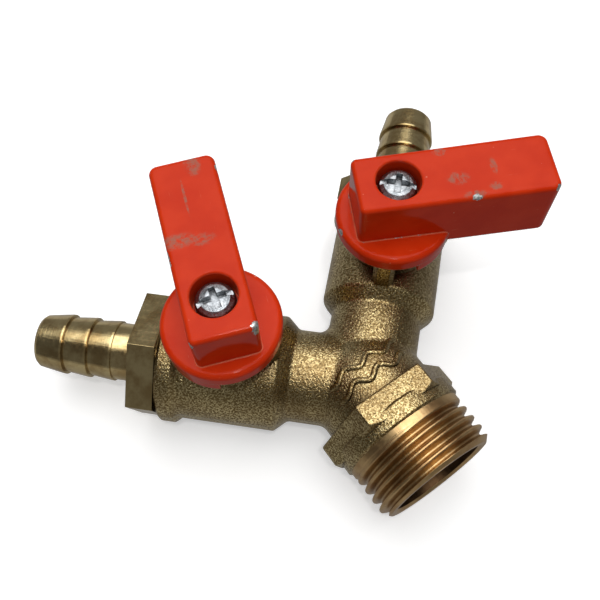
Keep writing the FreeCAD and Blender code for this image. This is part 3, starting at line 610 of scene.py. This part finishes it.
def forged_copy(forged, machined, bore):
    """The forged body less its threaded end, with its machined faces marked."""
    bm = bmesh.new()
    bm.from_mesh(frame["nodes"]["forged_body"].data)
    bmesh.ops.remove_doubles(bm, verts=bm.verts, dist=WELD * MM)
    whole = bm.verts[:] + bm.edges[:] + bm.faces[:]
    bmesh.ops.bisect_plane(
        bm,
        geom=whole,
        dist=0.0001 * MM,
        plane_co=(0, THREAD_CUT * MM, 0),
        plane_no=(0, 1, 0),
        clear_inner=True,
    )
    for face in bm.faces:
        middle = face.calc_center_median() / MM
        from_axis = math.hypot(middle.x, middle.z)
        in_bore = from_axis < BORE_R + BORE_MARGIN and middle.y < BORE_TO
        on_shank = middle.y < SHANK_TO
        deep = False
        for side in SIDES:
            point, direction = branch(side)
            offset = middle - point / MM
            s = offset.dot(direction)
            outward = offset - s * direction
            from_junction = (middle - Vector((0.0, JUNCTION_Y, 0.0))).dot(direction)
            in_arm = s < 0 and from_junction > CHAMBER_FROM
            in_chamber = in_arm and outward.length < CHAMBER_R
            deep = deep or (in_chamber and face.normal.dot(outward) < 0)
        # the bore and the chambers' inner faces take the bore finish, which is painted
        # shade
        face.material_index = 2 if in_bore or deep else 1 if on_shank else 0
    return finish_mesh("valve_forging", bm, (forged, machined, bore))


# the inlet's thread, in mm
PITCH = 1.814
CREST_AT = 2.05  # from the end face to a crest, on the side that faces up
THREAD_DEPTH = 1.1
CREST_FLAT = 0.16  # share of half a pitch that is flat, at crest and at root
LEAD_R = 9.45  # the radius at the rim, where the lead cone starts
LEAD_LENGTH = 0.95
RUNOUT_END = 7.9  # from the end face to where the thread has faded out
RUNOUT_LENGTH = 0.9
RIM = 0.4  # the bore's chamfer
AROUND = 160  # points round the inlet
PER_PITCH = 18  # rows of faces to one pitch
TURNS_BEFORE = 3  # how many pitches before the first crest the rows start


def thread_radius(y, phase):
    """Radius in mm of a G 1/2 thread y mm from the end; phase 0 is a crest."""
    lead_r = LEAD_R + (SHANK_R - LEAD_R) * y / LEAD_LENGTH
    off_crest = abs((phase + 0.5) % 1.0 - 0.5) * 2
    flank = (off_crest - CREST_FLAT) / (1 - 2 * CREST_FLAT)
    flank = min(max(flank, 0.0), 1.0)
    rounded = 0.45 * flank + 0.55 * flank * flank * (3 - 2 * flank)
    runout = min(max((RUNOUT_END - y) / RUNOUT_LENGTH, 0.0), 1.0)
    return min(lead_r, SHANK_R - THREAD_DEPTH * rounded * runout)


def threaded_end(material, bore):
    """The inlet's end: a true helix on grid lines that follow it, rim and bore."""
    rows = int((THREAD_CUT / PITCH + 2) * PER_PITCH)
    bm = bmesh.new()
    grid = []
    for i in range(AROUND + 1):
        share = i / AROUND
        angle = 2 * math.pi * share
        column = []
        for j in range(rows + 1):
            y = CREST_AT + PITCH * (share + j / PER_PITCH) - PITCH * TURNS_BEFORE
            y_held = min(max(y, 0.0), THREAD_CUT)
            phase = j / PER_PITCH + (y_held - y) / PITCH
            r = thread_radius(y_held, phase)
            spot = Vector((r * math.sin(angle), y_held, r * math.cos(angle)))
            column.append(bm.verts.new(spot * MM))
        grid.append(column)
    for a, b in zip(grid, grid[1:]):
        for j in range(rows):
            bm.faces.new((a[j], a[j + 1], b[j + 1], b[j]))
    rings = ((0.0, None), (0.0, BORE_R + RIM), (RIM, BORE_R), (THREAD_CUT, BORE_R))
    loops = []
    for y, r in rings:
        loop = []
        for i in range(AROUND):
            share = i / AROUND
            angle = 2 * math.pi * share
            phase = -CREST_AT / PITCH - share
            radius = thread_radius(0.0, phase) if r is None else r
            spot = Vector((radius * math.sin(angle), y, radius * math.cos(angle)))
            loop.append(bm.verts.new(spot * MM))
        loops.append(loop)
    for a, b in zip(loops, loops[1:]):
        for i in range(AROUND):
            k = (i + 1) % AROUND
            face = bm.faces.new((a[i], a[k], b[k], b[i]))
            # the bore's faces take the bore finish, which is painted shade
            face.material_index = 1 if a is loops[-2] else 0
    bmesh.ops.recalc_face_normals(bm, faces=bm.faces)
    return finish_mesh("inlet_thread", bm, (material, bore), 38.0)


# a generic water mark on the dome, in mm: wavy strokes, one above the other
WAVE_REACH = 6.9
WAVE_LENGTH = 4.6
WAVE_SWING = 0.62
WAVE_LINES = (-1.45, 1.25)
WAVE_STEPS = 110
WAVE_TAPER = 0.8  # how far from its ends a stroke starts to thin
SUNK = 0.3  # how far a stroke's ends lie below the dome
RAY_FROM = 20.0  # mm, a height above the dome to look down from
# a stroke's section: across it, and up from the dome
STROKE = (
    (-0.62, -0.30),
    (-0.46, 0.12),
    (-0.26, 0.38),
    (0.0, 0.46),
    (0.26, 0.38),
    (0.46, 0.12),
    (0.62, -0.30),
)


def flow_mark(body_mesh, material):
    """Raised strokes that follow the dome under them."""
    tree = BVHTree.FromPolygons(
        [v.co[:] for v in body_mesh.vertices],
        [p.vertices[:] for p in body_mesh.polygons],
    )
    centre = Vector((0.0, JUNCTION_Y))
    bm = bmesh.new()
    for line in WAVE_LINES:
        rows = []
        for i in range(WAVE_STEPS + 1):
            x = -WAVE_REACH + 2 * WAVE_REACH * i / WAVE_STEPS
            turn = 2 * math.pi * x / WAVE_LENGTH
            y = line + WAVE_SWING * math.sin(turn)
            slope = WAVE_SWING * 2 * math.pi / WAVE_LENGTH * math.cos(turn)
            across = Vector((-slope, 1.0)).normalized()
            end_gap = WAVE_REACH - abs(x)
            swell = math.sin(min(end_gap / WAVE_TAPER, 1.0) * math.pi / 2)
            row = []
            for offset, rise in STROKE:
                spot = centre + Vector((x, y)) + across * offset * (0.5 + 0.5 * swell)
                above = Vector((spot.x, spot.y, RAY_FROM)) * MM
                hit = tree.ray_cast(above, Vector((0, 0, -1)))[0]
                z = hit.z / MM + (rise + SUNK) * swell - SUNK
                row.append(bm.verts.new(Vector((spot.x, spot.y, z)) * MM))
            rows.append(row)
        for r0, r1 in zip(rows, rows[1:]):
            for k in range(len(STROKE) - 1):
                bm.faces.new((r0[k], r0[k + 1], r1[k + 1], r1[k]))
    bmesh.ops.recalc_face_normals(bm, faces=bm.faces)
    for face in bm.faces:
        if face.normal.z < 0:
            face.normal_flip()
    return finish_mesh("flow_mark", bm, (material,), 80.0)


def dress(node, material):
    """Give every slot of a CAD node the same material."""
    thing = frame["nodes"][node]
    if not thing.material_slots:
        thing.data.materials.append(material)
    for slot in thing.material_slots:
        slot.material = material


# ---- build it all

add_camera()
add_floor()
add_world()
add_lights()
bpy.context.scene.view_settings.view_transform = "Standard"

GOLD = (0.69, 0.545, 0.275)
OLIVE = (0.45, 0.31, 0.132)
COPPER = (0.60, 0.405, 0.19)
UMBER = (0.46, 0.28, 0.125)
# painted shade: near-black browns for the bore and the chambers' insides, which are only
# in shade
BORE_SHADE = (0.17, 0.095, 0.045)
BORE_DEEP_SHADE = (0.05, 0.028, 0.014)

FORGED = forged_brass()
inlet = MOUNTS["inlet_thread"]
inlet_at, inlet_axis = inlet["pos_m"], inlet["axis"]
THREADED = turned_brass("threaded_brass", inlet_at, inlet_axis, COPPER, UMBER, 0.29)
SHADED_BORE = turned_brass("shaded_bore_brass", inlet_at, inlet_axis, BORE_SHADE, BORE_DEEP_SHADE, 0.36)
ZINC = zinc_plate()
PTFE = plain("ptfe", (0.90, 0.90, 0.87), 0.0, 0.42, 1.5, 0.01)
CHROME = plain("plated_ball", (0.80, 0.80, 0.82), 1.0, 0.08, 2.0, 0.002)
RUBBER = plain("seal_rubber", (0.03, 0.03, 0.03), 0.0, 0.55, 0.4, 0.01)

forging = add_piece("valve_forging", forged_copy(FORGED, THREADED, SHADED_BORE))
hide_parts("forged_body")
weighted = forging.modifiers.new("even_shading", "WEIGHTED_NORMAL")
weighted.keep_sharp = True
add_piece("inlet_thread", threaded_end(THREADED, SHADED_BORE))
add_piece("flow_mark", flow_mark(forging.data, FORGED))


for side in SIDES:
    point, direction = branch(side)
    turned = turned_brass(f"tail_brass_{side}", point, direction, GOLD, OLIVE, 0.13)
    centre, _ = pivot(side)
    upright = turned_brass(f"stem_brass_{side}", centre, (0, 0, 1), GOLD, OLIVE)
    finishes = {
        "hose_tail": turned,
        "stem": upright,
        "lever": lever_paint(side),
        "lever_screw": ZINC,
        "lock_washer": ZINC,
        "ball": CHROME,
        "inner_seat": PTFE,
        "outer_seat": PTFE,
        "thrust_washer": PTFE,
        "stem_o_ring": RUBBER,
    }
    for name, material in finishes.items():
        dress(f"{name}_{side}", material)
